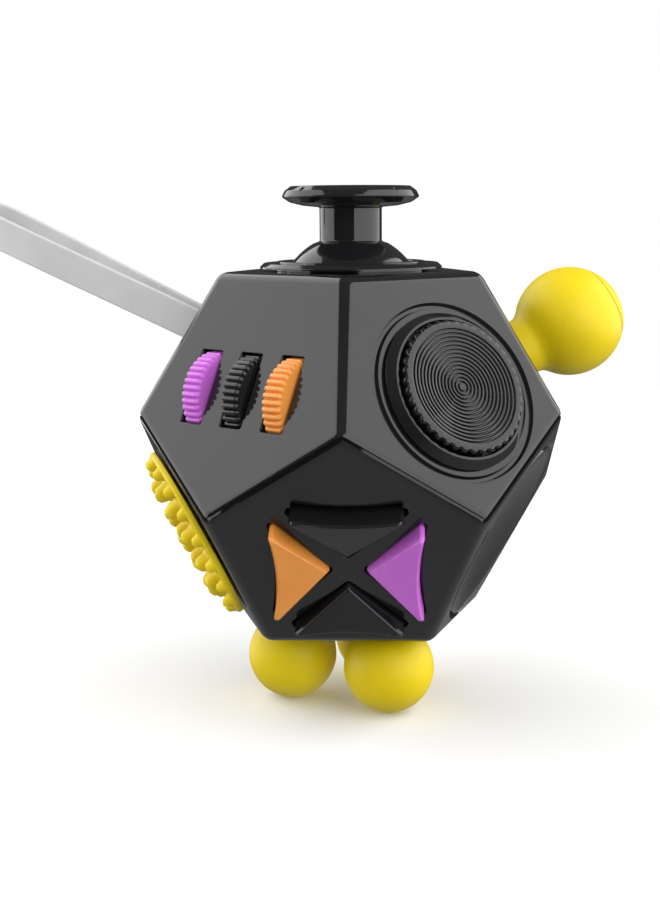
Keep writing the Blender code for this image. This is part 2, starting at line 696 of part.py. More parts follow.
def make_strap(face):
    outer = strap_outline(STRAP_THICKNESS / 2)
    inner = strap_outline(-STRAP_THICKNESS / 2)
    bm = bmesh.new()
    loops = []
    for outline, y in ((outer, -1), (outer, 1), (inner, 1), (inner, -1)):
        loops.append([bm.verts.new((x, y * STRAP_WIDTH / 2, z)) for x, z in outline])
    count = len(outer)
    for a, b in zip(loops, loops[1:] + loops[:1]):
        for i in range(count):
            j = (i + 1) % count
            bm.faces.new((a[i], a[j], b[j], b[i]))
    droop = Matrix.Rotation(STRAP_DROOP, 3, "X")
    add_mesh("wrist_strap", bm, face, LOOKS["strap"], (0, STRAP_UP, 0), droop)

    frame = block(9.6, 9.8, -5.9, UNDER_WALL, 0, STRAP_UP)
    bracket = add_mesh("strap_bracket", frame, face, LOOKS["inner"])
    cut(bracket, "cut_bracket", block(6.2, 6.6, -7, 0, 0, STRAP_UP), face)
    bore = rod(BAR_RADIUS + FIT_GAP, 14, "Y")
    bar_place = (0, STRAP_UP, BAR_HEIGHT)
    cut(bracket, "cut_bar_bore", bore, face, bar_place)
    add_mesh("strap_bar", rod(BAR_RADIUS, 9.4, "Y"), face, LOOKS["steel"], bar_place)


# Flip switch


def make_rocker(face):
    length = ROCKER_LENGTH
    width = ROCKER_WIDTH
    bezel = block(width + 3.0, length + 3.0, FIT_GAP, 0.9)
    box = add_mesh("switch_housing", bezel, face, LOOKS["casing"])
    join(box, "housing_body", block(width + 1.0, length + 1.0, -7.0, 0.6), face)
    cut(box, "cut_housing", block(width + 0.2, length + 0.2, -6.2, 3), face)
    pivot = (0, 0, -1.6)
    cut(box, "cut_switch_pin", rod(PIN_RADIUS + 0.2, 12, "X"), face, pivot)
    pin = rod(PIN_RADIUS, width + 0.7, "X", 12)
    add_mesh("switch_pin", pin, face, LOOKS["steel"], pivot)

    tipped = Matrix.Rotation(-ROCKER_SWING, 3, "X")
    swing = joint_empty("switch_axis", face, pivot, tipped)
    reach = length / 2 - 0.75
    side = [(-reach, 2.2), (-reach + 0.2, 0.2), (-1.6, -1.6), (0, -3.2), (1.6, -1.6)]
    side += [(reach - 0.2, 0.2), (reach, 2.2), (reach - 0.5, 3.1), (0, 2.3), (-reach + 0.5, 3.1)]
    bm = prism(side, -(width / 2 - 0.2), width / 2 - 0.2)
    upright = Matrix(((0, 0, 1), (1, 0, 0), (0, 1, 0)))
    rocker = add_mesh("flip_switch", bm, swing, LOOKS["casing"], turn=upright)
    cut(rocker, "cut_rocker_bore", rod(PIN_RADIUS + FIT_GAP, width + 4, "X"), swing)

    leaf_side = [(-4.0, -5.9), (4.0, -5.9), (4.0, -5.6), (1.5, -5.5), (0, -5.25), (-1.5, -5.5), (-4.0, -5.6)]
    leaf = prism(leaf_side, -1.5, 1.5)
    add_mesh("switch_spring", leaf, face, LOOKS["steel"], turn=upright)


# Rolling steel ball


def make_roller(face):
    axis = joint_empty("roller_axis", face, (0, 0, ROLLER_HEIGHT))
    bm = bmesh.new()
    bmesh.ops.create_icosphere(bm, subdivisions=3, radius=ROLLER_RADIUS)
    add_mesh("rolling_ball", bm, axis, LOOKS["steel"])
    inner = ROLLER_RADIUS + 0.35
    outer = inner + 0.9
    cup = sphere_points(outer, ROLLER_HEIGHT, -90, -4, 5)
    cup += [(outer + 1.6, -3.1), (outer + 1.6, UNDER_WALL), (inner + 0.05, UNDER_WALL)]
    cup += sphere_points(inner, ROLLER_HEIGHT, -2, -90, 5)
    add_mesh("ball_cup", lathe(cup, 18), face, LOOKS["inner"])


# Click buttons


def button_places():
    corners = [(x * BUTTON_SPACING, y * BUTTON_SPACING, 0) for x in (-1, 1) for y in (-1, 1)]
    return [(0, 0, 0)] + corners


def make_buttons(face):
    looks = ("purple", "orange", "casing", "casing", "orange")
    pad = add_mesh("button_membrane", cylinder(7.6, -5.2, -4.6, 28), face, LOOKS["rubber"])
    for i, (place, look) in enumerate(zip(button_places(), looks)):
        x, y, _ = place
        slide = joint_empty(f"button_{i + 1}_slide", face, place)
        profile = [(0, -3.0), (BUTTON_RADIUS + 0.6, -3.0), (BUTTON_RADIUS + 0.6, UNDER_WALL)]
        profile += [(BUTTON_RADIUS, UNDER_WALL), (BUTTON_RADIUS, BUTTON_TOP - 0.5)]
        profile += [(BUTTON_RADIUS - 0.5, BUTTON_TOP), (0, BUTTON_TOP + 0.1)]
        add_mesh(f"click_button_{i + 1}", lathe(profile, 14), slide, LOOKS[look])
        dome = lathe([(0, -4.9), (1.5, -4.9), (1.0, -4.0), (0, -4.0)], 8)
        join(pad, f"button_dome_{i}", dome, face, (x, y, 0))
    plate = cylinder(7.6, -6.5, -5.5, 28)
    add_mesh("button_plate", plate, face, LOOKS["inner"])


def make_faces():
    """One empty for each face, named by what it carries."""
    upper = {"wheels": -36, "dial": 36, "strap": -108, "ball": 108, "rocker": 180}
    lower = {"keys": 0, "pad": -72, "dish": 72, "roller": -144, "buttons": 144}
    faces = {}
    for name, azimuth in upper.items():
        faces[name] = add_empty("face_" + name, face_matrix(azimuth, FACE_TILT))
    for name, azimuth in lower.items():
        faces[name] = add_empty("face_" + name, face_matrix(azimuth, -FACE_TILT))
    faces["stick"] = add_empty("face_stick", face_matrix(0, math.radians(90)))
    faces["feet"] = add_empty("face_feet", face_matrix(0, math.radians(-90)))
    return faces


clear_scene()
LOOKS = {
    "casing": material("black_gloss_abs", ABS_BLACK, 0.22),
    "orange": material("orange_abs", ORANGE, 0.35),
    "purple": material("purple_abs", PURPLE, 0.35),
    "silicone": material("yellow_silicone", YELLOW, 0.55),
    "rubber": material("membrane_rubber", STRAP_GREY, 0.7),
    "inner": material("white_nylon", NYLON_WHITE, 0.5),
    "steel": material("polished_steel", STEEL, 0.2, 1.0),
    "strap": material("grey_strap", STRAP_GREY, 0.6),
}
FACES = make_faces()
make_shells(FACES)
make_joystick(FACES["stick"])
make_wheels(FACES["wheels"])
make_dial(FACES["dial"])
make_keys(FACES["keys"])
make_big_ball(FACES["ball"])
make_feet(FACES["feet"])
make_pad(FACES["pad"])
make_strap(FACES["strap"])
make_rocker(FACES["rocker"])
make_roller(FACES["roller"])
make_buttons(FACES["buttons"])
bpy.context.view_layer.update()
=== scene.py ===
import math

import bmesh
import bpy
from mathutils import Matrix, Vector


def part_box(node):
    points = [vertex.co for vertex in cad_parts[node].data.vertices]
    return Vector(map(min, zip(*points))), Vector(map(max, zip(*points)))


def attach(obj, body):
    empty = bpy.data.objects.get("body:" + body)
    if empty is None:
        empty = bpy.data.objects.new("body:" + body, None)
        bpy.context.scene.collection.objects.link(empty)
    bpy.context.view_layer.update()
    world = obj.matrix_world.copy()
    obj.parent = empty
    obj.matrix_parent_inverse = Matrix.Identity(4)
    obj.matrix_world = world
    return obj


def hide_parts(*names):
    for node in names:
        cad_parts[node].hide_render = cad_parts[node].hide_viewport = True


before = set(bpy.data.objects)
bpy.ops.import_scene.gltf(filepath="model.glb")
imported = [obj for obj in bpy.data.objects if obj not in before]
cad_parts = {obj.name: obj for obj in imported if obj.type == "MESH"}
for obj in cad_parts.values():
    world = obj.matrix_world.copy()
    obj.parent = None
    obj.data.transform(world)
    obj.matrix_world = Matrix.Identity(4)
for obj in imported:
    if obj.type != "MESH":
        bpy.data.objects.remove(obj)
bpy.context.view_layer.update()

# Looks for a twelve-sided fidget toy. Shapes are worked out in millimetres, each in the frame of the face
# that carries it (X to the right as seen from outside, Y up the face, Z outward, 0 on its outer surface),
# and go into the row frame in metres.
MM = 0.001
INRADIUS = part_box("upper_shell")[1].z / MM / 2
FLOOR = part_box("ball_foot_1")[0].z
FACE_TILT = math.degrees(math.atan(0.5))
MIDDLE = Vector((0, 0, INRADIUS))
CUTTER_TOP = 1.0
# Vertices closer than this are merged after a Boolean.
WELD = 0.004

# Casing
WALL = 1.8
EDGE_FILLET = 1.2
SEAM_GAP = 0.34
SEAM_FIT = 0.04
# The seam's groove starts and ends at these fractions of the way out from the middle to the sharp edge.
SEAM_START = 0.968
SEAM_END = 1.3
SEAM_SLOPE = 0.35
FIT_GAP = 0.3
UNDER_WALL = -(WALL + FIT_GAP)

# Thumb joystick
STICK_PIVOT = -5.0
DOME_RADIUS = 9.8
DOME_WALL = 1.2
COLLAR_RADIUS = 12.0
COLLAR_TOP = 1.2
STICK_HOLE_RADIUS = 10.4
STEM_RADIUS = 4.1
CAP_RADIUS = 9.05
CAP_TOP = 10.9

# Thumb wheels
WHEEL_CENTRES = {"wheel_left": -7.0, "wheel_middle": -0.35, "wheel_right": 6.3}
WHEEL_LOOKS = {"wheel_left": "purple_abs", "wheel_middle": "black_abs", "wheel_right": "orange_abs"}
WHEEL_UP = -1.0
WHEEL_AXIS = -3.6
WHEEL_RADIUS = 5.7
WHEEL_WIDTH = 2.8
WHEEL_TEETH = 40
TOOTH_DEPTH = 0.45
SLOT_WIDTH = 3.4

# Dial
DIAL_CENTRE = (0.8, -1.25, 0.0)
DIAL_RADIUS = 8.3
DIAL_TOP = 2.3
DIAL_SCALLOPS = 40
DIAL_GROOVES = 14
DIAL_RING_RADIUS = 11.3
GROOVE_SECTION = ((0.16, 0.0), (0.1, 0.05), (0.06, 0.24), (-0.06, 0.24), (-0.1, 0.05), (-0.16, 0.0))

# Keys
KEYS_CENTRE = (0.25, -1.95, 0.0)
KEY_APEX = 2.15
KEY_BASE = 9.3
KEY_HALF_ANGLE = math.radians(46.2)
KEY_CORNER = 0.4
KEY_HOLLOW = 0.6
RECESS_DEPTH = 1.1
RECESS_HALF = 6.6
KEY_TOP = 0.6
KEY_RISE = 1.9
KEY_FOOT = -2.6
KEYS = {
    "key_right": "purple_abs", "key_top": "black_abs", "key_left": "orange_abs", "key_bottom": "black_abs"
}

# Silicone pieces
BALL_RADIUS = 7.5
BALL_HEIGHT = 11.8
FOOT_RADIUS = 6.02
FOOT_HEIGHT = 5.66
FOOT_RING = 8.35
FOOT_TURN = 37.0
PAD_RADIUS = 12.0
PAD_TOP = 1.1
NUB_RINGS = ((0.0, 1, 1.5, 1.9), (4.0, 6, 1.5, 1.9), (7.6, 12, 1.5, 1.9), (10.7, 18, 1.0, 1.1))

# Strap
STRAP_UP = 4.2
STRAP_DROOP = 3.4
STRAP_WIDTH = 4.5
STRAP_THICKNESS = 0.85
STRAP_REACH = 43.0
STRAP_SPREAD = 3.9
BAR_RADIUS = 0.7
BAR_HEIGHT = -3.0

# Dish, flip switch, rolling ball and buttons
DISH_RADIUS = 11.8
DISH_DEPTH = 2.2
ROCKER_LENGTH = 9.6
ROCKER_WIDTH = 6.0
ROCKER_SWING = 12.0
ROLLER_RADIUS = 5.0
ROLLER_HEIGHT = -2.7
BUTTON_RADIUS = 1.9
BUTTON_SPACING = 3.7
BUTTON_TOP = 1.3
BUTTON_LOOKS = ("purple_abs", "orange_abs", "black_abs", "black_abs", "orange_abs")

# Camera
CAMERA_AZIMUTH = math.radians(2.29)
CAMERA_ELEVATION = math.radians(9.61)
CAMERA_ROLL = math.radians(-0.328)
CAMERA_DISTANCE = 0.18659
CAMERA_LENS = 55.24
CAMERA_SHIFT = (-0.02442, -0.00671)

# Studio. Each shell has a name, a radius and a brightness.
PANEL_RADIANCE = 2.3
FLOOR_RADIUS = 350.0
STAGE_SHELLS = (("studio_backdrop", 2000, 1.0), ("studio_dome", 1900, 0.35))


# Materials


def pattern(tree, scale, low, high, stretch=(1, 1, 1), detail=2.0):
    """Noise over the piece's own coordinates, spread over the range from low to high."""
    coordinates = tree.nodes.new("ShaderNodeTexCoord")
    mapping = tree.nodes.new("ShaderNodeMapping")
    mapping.inputs["Scale"].default_value = stretch
    noise = tree.nodes.new("ShaderNodeTexNoise")
    noise.inputs["Scale"].default_value = scale
    noise.inputs["Detail"].default_value = detail
    spread = tree.nodes.new("ShaderNodeMapRange")
    spread.inputs["From Min"].default_value = 0.3
    spread.inputs["From Max"].default_value = 0.7
    spread.inputs["To Min"].default_value = low
    spread.inputs["To Max"].default_value = high
    tree.links.new(coordinates.outputs["Object"], mapping.inputs["Vector"])
    tree.links.new(mapping.outputs["Vector"], noise.inputs["Vector"])
    tree.links.new(noise.outputs["Fac"], spread.inputs["Value"])
    return spread.outputs["Result"]


def add_up(tree, first, second):
    node = tree.nodes.new("ShaderNodeMath")
    node.operation = "ADD"
    tree.links.new(first, node.inputs[0])
    tree.links.new(second, node.inputs[1])
    return node.outputs["Value"]


def finish(name, dark, light, rough, patch, scuff, grain, relief, constants):
    """A material with patchy colour and roughness, fine scuffs and a moulded grain.

    dark and light bound the colour, rough the roughness; patch, scuff and grain are noise scales per metre,
    and relief is the height of the grain in metres. constants go straight onto the shader's sockets.
    """
    look = bpy.data.materials.new(name)
    look.use_nodes = True
    tree = look.node_tree
    shader = tree.nodes["Principled BSDF"]
    mix = tree.nodes.new("ShaderNodeMix")
    mix.data_type = "RGBA"
    mix.inputs["A"].default_value = (*dark, 1)
    mix.inputs["B"].default_value = (*light, 1)
    tree.links.new(pattern(tree, patch, 0, 1), mix.inputs["Factor"])
    tree.links.new(mix.outputs["Result"], shader.inputs["Base Color"])
    uneven = pattern(tree, patch * 2.5, rough[0], rough[1])
    scratches = pattern(tree, scuff, -0.015, 0.02, stretch=(1, 7, 2), detail=5)
    tree.links.new(add_up(tree, uneven, scratches), shader.inputs["Roughness"])
    bump = tree.nodes.new("ShaderNodeBump")
    bump.inputs["Strength"].default_value = 1.0
    bump.inputs["Distance"].default_value = relief
    tree.links.new(pattern(tree, grain, 0, 1, detail=3), bump.inputs["Height"])
    tree.links.new(bump.outputs["Normal"], shader.inputs["Normal"])
    for socket, value in constants.items():
        shader.inputs[socket].default_value = value
    return look


def woven(name, dark, light):
    """The strap's fabric: fine ribs across and along the band, from the band's own UVs in millimetres."""
    look = finish(name, dark, light, (0.5, 0.62), 120, 1500, 2500, 0.000004, {"Sheen Weight": 0.2})
    tree = look.node_tree
    shader = tree.nodes["Principled BSDF"]
    uv = tree.nodes.new("ShaderNodeTexCoord")
    ribs = []
    for direction, density in (("X", 0.75), ("Y", 0.9)):
        wave = tree.nodes.new("ShaderNodeTexWave")
        wave.bands_direction = direction
        wave.inputs["Scale"].default_value = density
        wave.inputs["Distortion"].default_value = 0.3
        tree.links.new(uv.outputs["UV"], wave.inputs["Vector"])
        ribs.append(wave.outputs["Fac"])
    bump = tree.nodes.new("ShaderNodeBump")
    bump.inputs["Strength"].default_value = 0.35
    bump.inputs["Distance"].default_value = 0.000012
    tree.links.new(add_up(tree, *ribs), bump.inputs["Height"])
    tree.links.new(shader.inputs["Normal"].links[0].from_socket, bump.inputs["Normal"])
    tree.links.new(bump.outputs["Normal"], shader.inputs["Normal"])
    return look


def make_looks():
    gloss = {"IOR": 1.5}
    soft = {
        "Subsurface Weight": 0.12, "Subsurface Radius": (0.0012, 0.0007, 0.0002), "Subsurface Scale": 1.0,
        "Specular IOR Level": 0.25,
    }
    metal = {"Metallic": 1.0}
    silk = (0.26, 0.34)
    return {
        "black_abs": finish(
            "gloss_black", (0.007, 0.007, 0.008), (0.011, 0.011, 0.012), (0.07, 0.11),
            60, 700, 450, 5e-6, gloss
        ),
        "orange_abs": finish(
            "gloss_orange", (0.74, 0.27, 0.045), (0.80, 0.31, 0.06), silk, 150, 900, 900, 5e-6, gloss
        ),
        "purple_abs": finish(
            "gloss_purple", (0.55, 0.135, 0.62), (0.60, 0.16, 0.68), silk, 150, 900, 900, 5e-6, gloss
        ),
        "yellow_silicone": finish(
            "matt_silicone", (0.70, 0.53, 0.004), (0.78, 0.60, 0.008), (0.4, 0.5), 120, 1200, 3200, 8e-6, soft
        ),
        "grey_rubber": finish(
            "membrane", (0.24, 0.24, 0.24), (0.3, 0.3, 0.3), (0.6, 0.75), 200, 900, 2500, 1e-5, gloss
        ),
        "white_nylon": finish(
            "nylon", (0.66, 0.66, 0.63), (0.74, 0.74, 0.71), (0.4, 0.55), 200, 900, 2000, 8e-6, gloss
        ),
        "polished_steel": finish(
            "steel", (0.55, 0.55, 0.57), (0.66, 0.66, 0.68), (0.08, 0.16), 300, 2500, 3000, 2e-6, metal
        ),
        "grey_strap": woven("strap_weave", (0.50, 0.50, 0.51), (0.58, 0.58, 0.59)),
    }


# Meshes


def lathe(profile, segments=96, closed=False, ripple=None):
    """Turns (radius, height) points about Z. An open profile starts and ends on the axis."""
    bm = bmesh.new()
    rings = []
    for radius, height in profile:
        if radius < 1e-4:
            rings.append([bm.verts.new((0, 0, height))])
            continue
        ring = []
        for i in range(segments):
            angle = 2 * math.pi * i / segments
            reach = ripple(angle, radius, height) if ripple else radius
            ring.append(bm.verts.new((reach * math.cos(angle), reach * math.sin(angle), height)))
        rings.append(ring)
    pairs = list(zip(rings, rings[1:]))
    if closed:
        pairs.append((rings[-1], rings[0]))
    for lower, upper in pairs:
        for i in range(segments):
            j = (i + 1) % segments
            if len(lower) == 1:
                bm.faces.new((lower[0], upper[i], upper[j]))
            elif len(upper) == 1:
                bm.faces.new((lower[i], lower[j], upper[0]))
            else:
                bm.faces.new((lower[i], lower[j], upper[j], upper[i]))
    return bm


def soften(corners, closed=False, steps=5):
    """The line through (x, y, radius) corners, each one rounded by an arc of its own radius."""
    points = []
    for i, (x, y, radius) in enumerate(corners):
        here = Vector((x, y))
        back = Vector(corners[i - 1][:2]) - here
        ahead = Vector(corners[(i + 1) % len(corners)][:2]) - here
        if radius == 0 or (not closed and i in (0, len(corners) - 1)):
            points.append((x, y))
            continue
        half = back.angle(ahead) / 2
        reach = min(radius / math.tan(half), 0.49 * back.length, 0.49 * ahead.length)
        bend = reach * math.tan(half)
        to_middle = (back.normalized() + ahead.normalized()).normalized() * bend / math.sin(half)
        middle = here + to_middle
        start = here + back.normalized() * reach - middle
        end = here + ahead.normalized() * reach - middle
        for k in range(steps + 1):
            points.append(tuple(middle + start.lerp(end, k / steps).normalized() * bend))
    return points


def arc(radius, centre, start, end, steps):
    """Profile points round a ball on the axis, by their angle above the equator in degrees."""
    points = []
    for i in range(steps + 1):
        angle = math.radians(start + (end - start) * i / steps)
        points.append((radius * math.cos(angle), centre + radius * math.sin(angle)))
    return points


def loft(levels):
    """Skins outlines, each with as many (x, y) points, at their heights, and caps both ends."""
    bm = bmesh.new()
    rings = [[bm.verts.new((x, y, height)) for x, y in outline] for outline, height in levels]
    for lower, upper in zip(rings, rings[1:]):
        for i in range(len(lower)):
            j = (i + 1) % len(lower)
            bm.faces.new((lower[i], lower[j], upper[j], upper[i]))
    bm.faces.new(rings[0][::-1])
    bm.faces.new(rings[-1])
    return bm


def rectangle(width, height, corner, grow=0.0):
    a, b = width / 2 + grow, height / 2 + grow
    radius = corner + grow
    return soften([(-a, -b, radius), (a, -b, radius), (a, b, radius), (-a, b, radius)], closed=True)


def flare(low, lip):
    """(growth, height) pairs for a cutter whose hole is rounded where it meets the surface at height 0."""
    pairs = [(0.0, low)]
    for k in range(5):
        angle = math.radians(18 * k)
        pairs.append((lip * (1 - math.cos(angle)), lip * (math.sin(angle) - 1)))
    pairs.append((pairs[-1][0] + 0.05, CUTTER_TOP))
    return pairs


def round_hole(radius, lip=0.2, low=-4.0, segments=64):
    wall = [(radius + grow, height) for grow, height in flare(low, lip)]
    return lathe([(0, low), *wall, (0, CUTTER_TOP)], segments)


def shaped_hole(outline, lip=0.2, low=-4.0):
    return loft([(outline(grow), height) for grow, height in flare(low, lip)])


def cylinder(radius, low, high):
    return lathe([(0, low), (radius, low), (radius, high), (0, high)], 48)


def polar(radius, degrees):
    angle = math.radians(degrees)
    return Vector((radius * math.cos(angle), radius * math.sin(angle), 0))


def shift(x, y, z=0.0):
    return Matrix.Translation((x, y, z))


def turn(degrees, axis):
    return Matrix.Rotation(math.radians(degrees), 4, axis)


def face_matrix(azimuth_degrees, tilt_degrees):
    """A face's frame in millimetres, from its azimuth about +Z (0 is the front) and its upward tilt."""
    azimuth = math.radians(azimuth_degrees)
    tilt = math.radians(tilt_degrees)
    level = Vector((math.sin(azimuth), -math.cos(azimuth), 0))
    out = level * math.cos(tilt) + Vector((0, 0, math.sin(tilt)))
    up = -level * math.sin(tilt) + Vector((0, 0, math.cos(tilt)))
    matrix = Matrix((up.cross(out), up, out)).transposed().to_4x4()
    matrix.translation = MIDDLE + out * INRADIUS
    return matrix


FACES = {
    "wheels": face_matrix(-36, FACE_TILT),
    "dial": face_matrix(36, FACE_TILT),
    "strap": face_matrix(-108, FACE_TILT),
    "ball": face_matrix(108, FACE_TILT),
    "rocker": face_matrix(180, FACE_TILT),
    "keys": face_matrix(0, -FACE_TILT),
    "pad": face_matrix(-72, -FACE_TILT),
    "dish": face_matrix(72, -FACE_TILT),
    "roller": face_matrix(-144, -FACE_TILT),
    "buttons": face_matrix(144, -FACE_TILT),
    "stick": face_matrix(0, 90),
    "feet": face_matrix(0, -90),
}


def new_object(name, bm, place):
    """A bmesh in millimetres, in the frame given by place, as an object in metres."""
    bmesh.ops.recalc_face_normals(bm, faces=bm.faces)
    bm.transform(Matrix.Scale(MM, 4) @ place)
    mesh = bpy.data.meshes.new(name)
    bm.to_mesh(mesh)
    bm.free()
    obj = bpy.data.objects.new(name, mesh)
    bpy.context.scene.collection.objects.link(obj)
    return obj


def carve(obj, steps):
    """Applies Booleans to the object's mesh, each given as (operation, bmesh, place)."""
    helpers = []
    for operation, bm, place in steps:
        helper = new_object("helper", bm, place)
        modifier = obj.modifiers.new("carve", "BOOLEAN")
        modifier.operation = operation
        modifier.solver = "EXACT"
        modifier.object = helper
        helpers.append(helper)
    graph = bpy.context.evaluated_depsgraph_get()
    carved = bpy.data.meshes.new_from_object(obj.evaluated_get(graph))
    obj.modifiers.clear()
    obj.data = carved
    welded = bmesh.new()
    welded.from_mesh(carved)
    bmesh.ops.remove_doubles(welded, verts=welded.verts, dist=WELD * MM)
    bmesh.ops.dissolve_degenerate(welded, edges=welded.edges, dist=WELD * MM)
    welded.to_mesh(carved)
    welded.free()
    for helper in helpers:
        bpy.data.objects.remove(helper)


def piece(node, bm, place, look, body="casing", steps=(), sharp=38, flat=True):
    """A finished piece that rides on a body and stands for one CAD node."""
    obj = new_object(node + "_detail", bm, place)
    if steps:
        carve(obj, steps)
    obj.data.shade_smooth()
    obj.data.set_sharp_from_angle(angle=math.radians(sharp))
    obj.data.materials.clear()
    obj.data.materials.append(LOOKS[look])
    if flat:
        obj.modifiers.new("flat_faces", "WEIGHTED_NORMAL").keep_sharp = True
    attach(obj, body)
    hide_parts(node)
    return obj


# Casing


def dodecahedron_corners(inradius):
    """The twenty corners, in rings from top to bottom."""
    edge = inradius / 1.113516
    corners = []
    for radius, height, start in (
        (0.8507, 1.1135, 0), (1.3764, 0.2629, 0), (1.3764, -0.2629, 36), (0.8507, -1.1135, 36)
    ):
        for i in range(5):
            azimuth = math.radians(start + 72 * i)
            ring = Vector((math.sin(azimuth), -math.cos(azimuth), 0)) * radius
            corners.append(MIDDLE + (ring + Vector((0, 0, height))) * edge)
    return corners


def dodecahedron(inradius):
    bm = bmesh.new()
    for point in dodecahedron_corners(inradius):
        bm.verts.new(point)
    bmesh.ops.convex_hull(bm, input=bm.verts)
    bmesh.ops.dissolve_limit(bm, angle_limit=0.1, verts=bm.verts, edges=bm.edges)
    return bm


def rounded_dodecahedron():
    """The casing's outside, with every edge and corner rounded."""
    bm = dodecahedron(INRADIUS)
    bmesh.ops.bevel(bm, geom=bm.edges[:], offset=EDGE_FILLET, segments=6, profile=0.5, affect="EDGES")
    return bm


def seam_side(direction):
    """The space on one side of the zigzag seam, drawn back near the surface for the seam's broken edge."""
    corners = dodecahedron_corners(INRADIUS)
    zigzag = []
    for i in range(5):
        zigzag += [corners[5 + i], corners[10 + i]]
    rim = []
    for i, corner in enumerate(zigzag):
        after = zigzag[(i + 1) % 10]
        for t in (0, 0.25, 0.5, 0.75):
            rim.append(corner.lerp(after, t) - MIDDLE)
    bm = bmesh.new()
    fit = Vector((0, 0, direction * SEAM_FIT / 2))
    gap = Vector((0, 0, direction * SEAM_GAP / 2))
    hub = bm.verts.new(MIDDLE + fit)
    inner = [bm.verts.new(MIDDLE + point * SEAM_START + fit) for point in rim]
    step = [bm.verts.new(MIDDLE + point * SEAM_START + gap) for point in rim]
    outer = []
    for point in rim:
        spread = (SEAM_END - SEAM_START) * point.length * SEAM_SLOPE
        outer.append(bm.verts.new(MIDDLE + point * SEAM_END + gap + gap.normalized() * spread))
    far = [bm.verts.new((v.co.x, v.co.y, INRADIUS + direction * 3 * INRADIUS)) for v in outer]
    for i in range(len(rim)):
        j = (i + 1) % len(rim)
        bm.faces.new((hub, inner[i], inner[j]))
        bm.faces.new((inner[i], step[i], step[j], inner[j]))
        bm.faces.new((step[i], outer[i], outer[j], step[j]))
        bm.faces.new((outer[i], far[i], far[j], outer[j]))
    bm.faces.new(far)
    bmesh.ops.triangulate(bm, faces=bm.faces)
    return bm


def wheel_openings():
    steps = []
    opening = 2 * math.sqrt((WHEEL_RADIUS + 0.35) ** 2 - WHEEL_AXIS**2)
    for x in WHEEL_CENTRES.values():
        drum = cylinder(WHEEL_RADIUS + 0.35, -SLOT_WIDTH / 2, SLOT_WIDTH / 2)
        steps.append(("DIFFERENCE", drum, FACES["wheels"] @ shift(x, WHEEL_UP, WHEEL_AXIS) @ turn(90, "Y")))
        lip = shaped_hole(lambda grow: rectangle(SLOT_WIDTH, opening, 0.3, grow), 0.22, -0.8)
        steps.append(("DIFFERENCE", lip, FACES["wheels"] @ shift(x, WHEEL_UP)))
    return steps


def ring_groove(radius, width, depth):
    a, b = width / 2, width / 3
    wall = [(radius - b, -depth), (radius + b, -depth), (radius + a + 0.3, 0.4), (radius - a - 0.3, 0.4)]
    return lathe(wall, 128, closed=True)


def make_upper_shell():
    world = Matrix.Identity(4)
    steps = [("INTERSECT", seam_side(1), world), ("DIFFERENCE", dodecahedron(INRADIUS - WALL), world)]
    steps.append(("DIFFERENCE", cylinder(STICK_HOLE_RADIUS, -4, 1), FACES["stick"]))
    steps += wheel_openings()
    dial = FACES["dial"] @ shift(*DIAL_CENTRE)
    steps.append(("DIFFERENCE", cylinder(9.5, -4, 1), dial))
    steps.append(("DIFFERENCE", ring_groove(DIAL_RING_RADIUS, 0.62, 0.5), dial))
    strap_slot = shaped_hole(lambda grow: rectangle(5.6, 6.4, 0.9, grow), 0.35)
    steps.append(("DIFFERENCE", strap_slot, FACES["strap"] @ shift(0, STRAP_UP)))
    steps.append(("DIFFERENCE", cylinder(3.6, -4, 1), FACES["ball"]))
    opening = loft([(rectangle(ROCKER_WIDTH + 1.6, ROCKER_LENGTH + 1.6, 0.4), height) for height in (-4, 1)])
    steps.append(("DIFFERENCE", opening, FACES["rocker"]))
    piece("upper_shell", rounded_dodecahedron(), world, "black_abs", steps=steps)


def make_lower_shell():
    world = Matrix.Identity(4)
    steps = [("INTERSECT", seam_side(-1), world), ("DIFFERENCE", dodecahedron(INRADIUS - WALL), world)]
    boss = cylinder(DISH_RADIUS + 0.5, -(DISH_DEPTH + WALL / 2), -WALL / 2)
    steps.append(("UNION", boss, FACES["dish"]))
    bowl_radius = (DISH_RADIUS**2 + DISH_DEPTH**2) / (2 * DISH_DEPTH)
    half = math.degrees(math.asin(DISH_RADIUS / bowl_radius))
    bowl = [(0, -DISH_DEPTH)] + arc(bowl_radius, bowl_radius - DISH_DEPTH, -90, half - 91.5, 20)[1:]
    bowl += [(DISH_RADIUS + 0.1, -0.03), (DISH_RADIUS + 0.3, 1), (0, 1)]
    steps.append(("DIFFERENCE", lathe(bowl, 128), FACES["dish"]))
    steps.append(("DIFFERENCE", ring_groove(DISH_RADIUS + 1.1, 0.6, 0.45), FACES["dish"]))
    steps.append(("DIFFERENCE", cylinder(4.35, -4, 1), FACES["pad"]))
    for i in range(3):
        steps.append(("DIFFERENCE", cylinder(3.0, -4, 1), FACES["feet"] @ foot_place(i)))
    for i in range(4):
        place = FACES["keys"] @ shift(*KEYS_CENTRE) @ turn(90 * i, "Z")
        steps.append(("DIFFERENCE", shaped_hole(lambda grow: key_outline(FIT_GAP + grow), 0.12), place))
        if i % 2:
            steps.append(("DIFFERENCE", shaped_hole(base_recess, 0.15, -1.2), place))
    ball_space = lathe([(0, -5.35)] + arc(5.35, 0, -90, 90, 24)[1:-1] + [(0, 5.35)], 64)
    steps.append(("DIFFERENCE", ball_space, FACES["roller"] @ shift(0, 0, ROLLER_HEIGHT)))
    steps.append(("DIFFERENCE", round_hole(4.55, 0.35, -0.9), FACES["roller"]))
    for x, y in button_places():
        hole = round_hole(BUTTON_RADIUS + FIT_GAP, 0.2, segments=40)
        steps.append(("DIFFERENCE", hole, FACES["buttons"] @ shift(x, y)))
    piece("lower_shell", rounded_dodecahedron(), world, "black_abs", steps=steps)


